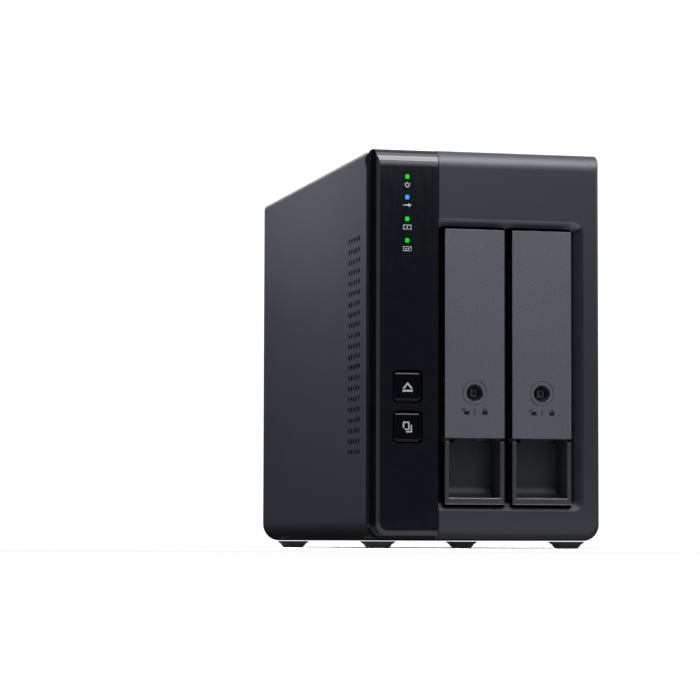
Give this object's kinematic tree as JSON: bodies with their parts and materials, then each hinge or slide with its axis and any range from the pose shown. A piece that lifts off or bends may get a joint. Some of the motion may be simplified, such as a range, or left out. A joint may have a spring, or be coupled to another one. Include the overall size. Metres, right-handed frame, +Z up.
{
  "type": "network attached storage",
  "caption": "Compact desktop storage unit with two lockable slide-out drive trays, a glossy lamp-and-key column, a rear fan and sockets in a dark case.",
  "frame": {"origin": "centre of the overall box on the surface the feet rest on", "axes": "+X to the right seen from the front, +Y from the front towards the rear panel, +Z up"},
  "size_m": [0.102, 0.219, 0.1685],
  "materials": {
    "cover": "satin dark grey paint, very fine grain",
    "matte_bezel": "fine-textured dark grey moulding",
    "rear_panel": "satin black paint",
    "gloss_panel": "piano-black polished moulding",
    "tray_front": "grey moulding with a fine speckled texture",
    "tray_frame": "dark grey moulding",
    "cage_plastic": "black moulding",
    "lock": "dark grey moulding",
    "key_caps": "polished black, white symbols",
    "rubber_feet": "black rubber",
    "steel": "zinc-plated steel",
    "sheet_metal": "black painted sheet steel",
    "aluminium": "cast aluminium",
    "circuit_board": "green solder mask",
    "black_plastic": "black moulding",
    "light_green": "lit green lens",
    "light_blue": "lit blue lens",
    "switch_blue": "blue switch housing",
    "white_plastic": "white moulding"
  },
  "bodies": {
    "enclosure": {"outer_cover": "cover", "front_bezel": "matte_bezel", "rear_panel": "rear_panel", "gloss_panel": "gloss_panel", "base_plate": "sheet_metal", "foot_front_left": "rubber_feet", "foot_front_right": "rubber_feet", "foot_rear_left": "rubber_feet", "foot_rear_right": "rubber_feet", "cage_left_wall": "cage_plastic", "bay_divider": "cage_plastic", "cage_right_wall": "cage_plastic", "cage_top_plate": "sheet_metal", "backplane_pcb": "circuit_board", "sata_connector_1": "black_plastic", "sata_connector_2": "black_plastic", "main_board": "circuit_board", "bridge_chip": "black_plastic", "heat_sink": "aluminium", "capacitor_1": "aluminium", "capacitor_2": "aluminium", "led_board": "circuit_board", "key_switch_1": "black_plastic", "key_switch_2": "black_plastic", "light_pipe_1": "light_green", "light_pipe_2": "light_blue", "light_pipe_3": "light_green", "light_pipe_4": "light_green", "fan_frame": "black_plastic", "usb_c_port": "steel", "dc_jack": "black_plastic", "mode_switch_body": "switch_blue", "fan_screw_1": "steel", "fan_screw_2": "steel", "fan_screw_3": "steel", "fan_screw_4": "steel", "panel_screw_1": "steel", "panel_screw_2": "steel", "panel_screw_3": "steel"},
    "eject_key": {"eject_button": "key_caps"},
    "copy_key": {"copy_button": "key_caps"},
    "fan_wheel": {"fan_rotor": "black_plastic"},
    "set_key": {"set_button": "black_plastic"},
    "mode_slide_1": {"mode_slider_1": "white_plastic"},
    "mode_slide_2": {"mode_slider_2": "white_plastic"},
    "mode_slide_3": {"mode_slider_3": "white_plastic"},
    "tray_1": {"carrier_1": "tray_frame", "hinge_pin_1": "steel", "drive_1": "aluminium", "drive_clip_low_1": "tray_frame", "drive_clip_top_1": "tray_frame"},
    "tray_lever_1": {"lever_1": "tray_front"},
    "tray_lock_1": {"lock_core_1": "lock"},
    "tray_2": {"carrier_2": "tray_frame", "hinge_pin_2": "steel", "drive_2": "aluminium", "drive_clip_low_2": "tray_frame", "drive_clip_top_2": "tray_frame"},
    "tray_lever_2": {"lever_2": "tray_front"},
    "tray_lock_2": {"lock_core_2": "lock"}
  },
  "joints": [
    {"name": "tray_1_slide", "type": "slide", "parent": "enclosure", "child": "tray_1", "axis": [0, -1, 0], "range_m": [0, 0.2]},
    {"name": "tray_1_lever", "type": "hinge", "parent": "tray_1", "child": "tray_lever_1", "pos_m": [-0.00625, -0.1057, 0.128], "axis": [-1, 0, 0], "range_deg": [0, 60]},
    {"name": "tray_1_lock", "type": "hinge", "parent": "tray_lever_1", "child": "tray_lock_1", "pos_m": [-0.00625, -0.1071, 0.0654], "axis": [0, 1, 0], "range_deg": [-45, 45]},
    {"name": "tray_2_slide", "type": "slide", "parent": "enclosure", "child": "tray_2", "axis": [0, -1, 0], "range_m": [0, 0.2]},
    {"name": "tray_2_lever", "type": "hinge", "parent": "tray_2", "child": "tray_lever_2", "pos_m": [0.0233, -0.1057, 0.128], "axis": [-1, 0, 0], "range_deg": [0, 60]},
    {"name": "tray_2_lock", "type": "hinge", "parent": "tray_lever_2", "child": "tray_lock_2", "pos_m": [0.0233, -0.1071, 0.0654], "axis": [0, 1, 0], "range_deg": [-45, 45]},
    {"name": "eject_press", "type": "slide", "parent": "enclosure", "child": "eject_key", "axis": [0, 1, 0], "range_m": [0, 0.0009], "stiffness_N_per_m": 800, "springref_m": -0.0003},
    {"name": "copy_press", "type": "slide", "parent": "enclosure", "child": "copy_key", "axis": [0, 1, 0], "range_m": [0, 0.0009], "stiffness_N_per_m": 800, "springref_m": -0.0003},
    {"name": "fan_spin", "type": "hinge", "parent": "enclosure", "child": "fan_wheel", "pos_m": [0.0105, 0.09045, 0.096], "axis": [0, 1, 0], "continuous": true},
    {"name": "mode_1_slide", "type": "slide", "parent": "enclosure", "child": "mode_slide_1", "axis": [0, 0, 1], "range_m": [0, 0.002]},
    {"name": "mode_2_slide", "type": "slide", "parent": "enclosure", "child": "mode_slide_2", "axis": [0, 0, 1], "range_m": [0, 0.002]},
    {"name": "mode_3_slide", "type": "slide", "parent": "enclosure", "child": "mode_slide_3", "axis": [0, 0, 1], "range_m": [0, 0.002]},
    {"name": "set_press", "type": "slide", "parent": "enclosure", "child": "set_key", "axis": [0, -1, 0], "range_m": [0, 0.0006], "stiffness_N_per_m": 800, "springref_m": -0.0003}
  ]
}
